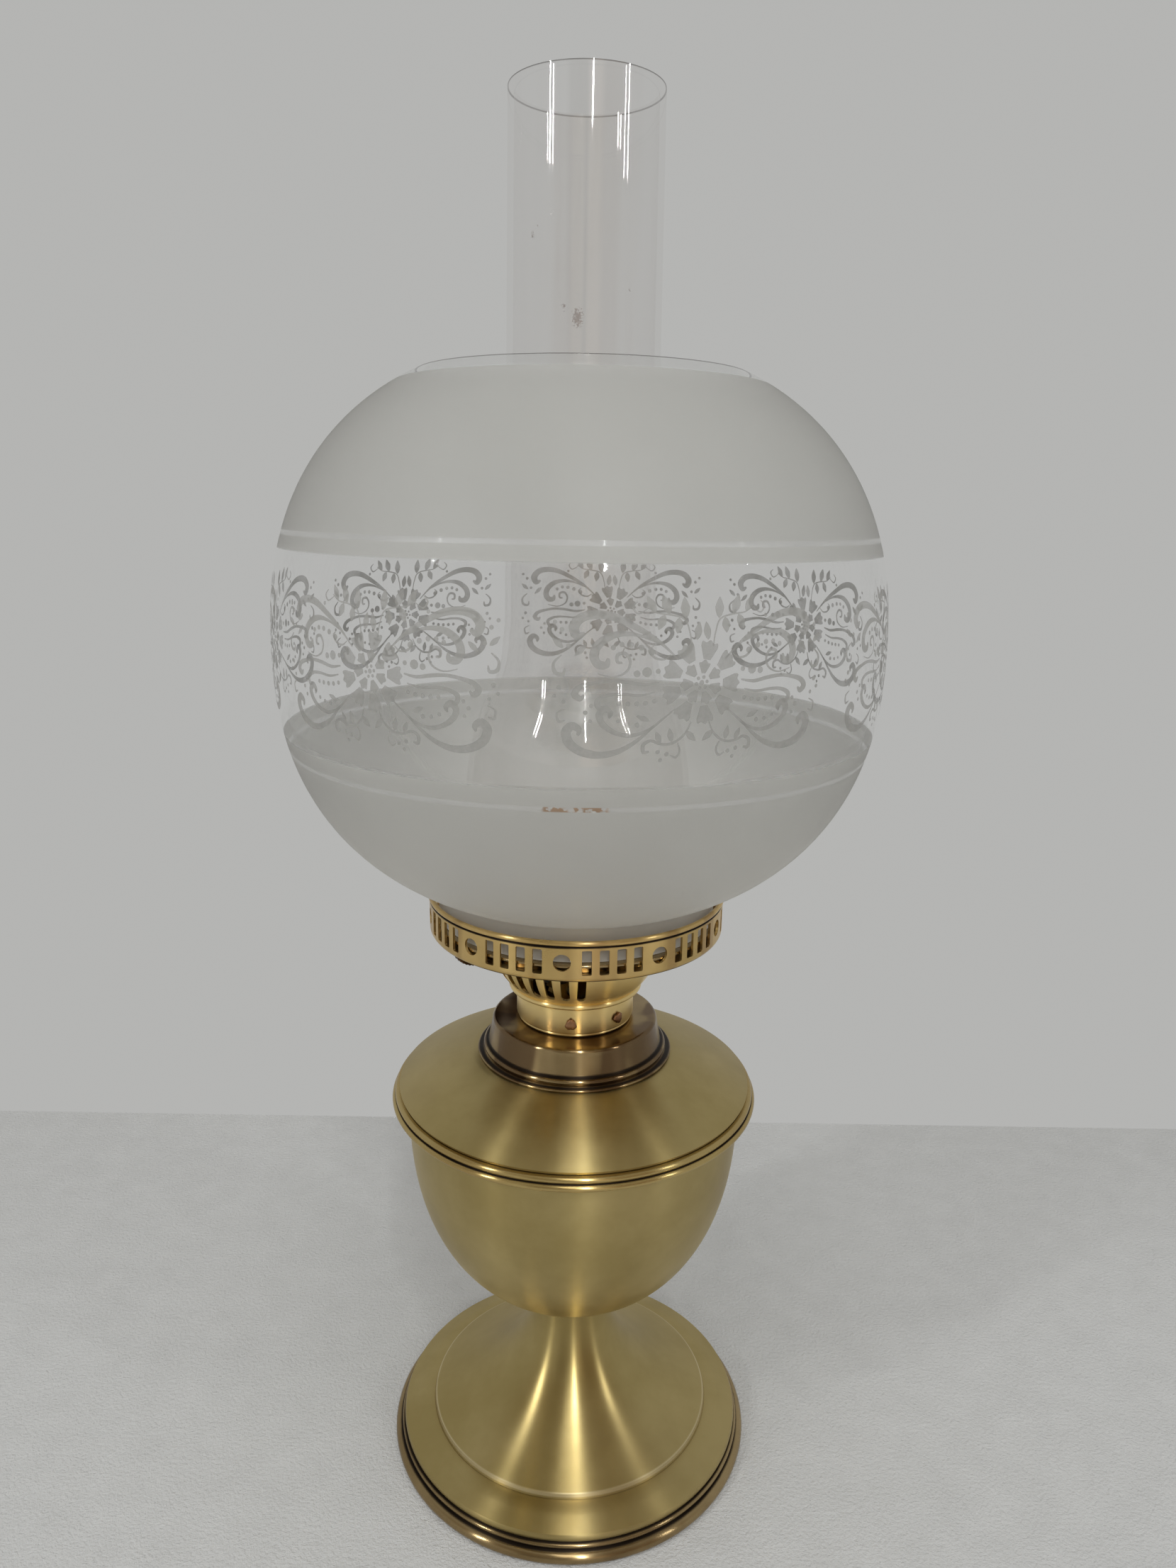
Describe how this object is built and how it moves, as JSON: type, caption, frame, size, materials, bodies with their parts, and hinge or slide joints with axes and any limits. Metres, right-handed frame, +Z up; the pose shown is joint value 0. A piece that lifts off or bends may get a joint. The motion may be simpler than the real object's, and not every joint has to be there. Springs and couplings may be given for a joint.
{
  "type": "kerosene table lamp",
  "caption": "Table kerosene lamp: spun brass foot and fount, flat-wick burner with winders, pierced gallery, glass chimney and frosted ball shade with an etched band.",
  "frame": {"origin": "on the lamp's axis, in the plane the foot stands on", "axes": "+Z up along the axis; -Y towards the viewer of the picture; +X to the viewer's right"},
  "size_m": [0.2036, 0.2036, 0.4842],
  "materials": {
    "satin_brass": "satin spun brass",
    "bright_brass": "polished yellow brass",
    "tarnished_brass": "brown tarnished brass",
    "dark_bronze": "dark bronzed brass",
    "copper": "dull copper",
    "steel": "plain steel",
    "cast_iron": "cast iron",
    "felt": "green felt",
    "wick_cotton": "woven cotton tape",
    "frosted_glass": "acid-frosted glass with a clear etched band",
    "clear_glass": "clear blown glass"
  },
  "bodies": {
    "base": {"foot_rim": "tarnished_brass", "foot_flange": "satin_brass", "foot_trumpet": "satin_brass", "stem_ring": "bright_brass", "base_felt": "felt", "foot_weight": "cast_iron", "tie_rod": "steel", "weight_nut": "steel", "fount_nut": "steel", "fount_washer": "bright_brass", "fount_bowl": "satin_brass", "fount_rim": "bright_brass", "fount_shoulder": "satin_brass", "fount_collar": "tarnished_brass"},
    "burner": {"burner_base": "bright_brass", "base_rivet_1": "copper", "base_rivet_2": "copper", "base_rivet_3": "copper", "base_rivet_4": "copper", "air_basket": "bright_brass", "gallery_band": "bright_brass", "gallery_floor": "tarnished_brass", "flame_spreader": "bright_brass", "chimney_spring_1": "bright_brass", "chimney_spring_2": "bright_brass", "chimney_spring_3": "bright_brass", "chimney_spring_4": "bright_brass", "wick_tube_left": "tarnished_brass", "wick_tube_right": "tarnished_brass", "winder_bearing_left": "bright_brass", "winder_bearing_right": "bright_brass"},
    "left_winder": {"winder_shaft_left": "steel", "spur_wheel_left_1": "bright_brass", "spur_wheel_left_2": "bright_brass", "winder_knob_left": "dark_bronze"},
    "right_winder": {"winder_shaft_right": "steel", "spur_wheel_right_1": "bright_brass", "spur_wheel_right_2": "bright_brass", "winder_knob_right": "dark_bronze"},
    "left_wick": {"wick_left": "wick_cotton"},
    "right_wick": {"wick_right": "wick_cotton"},
    "chimney_glass": {"chimney": "clear_glass"},
    "shade_glass": {"ball_shade": "frosted_glass"}
  },
  "joints": [
    {"name": "burner_lift", "type": "slide", "parent": "base", "child": "burner", "axis": [0, 0, 1], "range_m": [0, 0.09]},
    {"name": "left_winder_turn", "type": "hinge", "parent": "burner", "child": "left_winder", "pos_m": [-0.00985, -0.0077, 0.195], "axis": [0.6157, -0.788, 0], "range_deg": [-160, 70]},
    {"name": "right_winder_turn", "type": "hinge", "parent": "burner", "child": "right_winder", "pos_m": [0.00985, 0.0077, 0.195], "axis": [-0.6157, 0.788, 0], "range_deg": [-160, 70]},
    {"name": "left_wick_rise", "type": "slide", "parent": "burner", "child": "left_wick", "axis": [0, 0, 1], "range_m": [-0.0118, 0.0052]},
    {"name": "right_wick_rise", "type": "slide", "parent": "burner", "child": "right_wick", "axis": [0, 0, 1], "range_m": [-0.0118, 0.0052]},
    {"name": "chimney_lift", "type": "slide", "parent": "burner", "child": "chimney_glass", "axis": [0, 0, 1], "range_m": [0, 0.2]},
    {"name": "shade_lift", "type": "slide", "parent": "burner", "child": "shade_glass", "axis": [0, 0, 1], "range_m": [0, 0.27]}
  ],
  "couplings": [
    {"joint": "left_wick_rise", "follows": "left_winder_turn", "m_per_rad": 0.0041},
    {"joint": "right_wick_rise", "follows": "right_winder_turn", "m_per_rad": 0.0041}
  ]
}
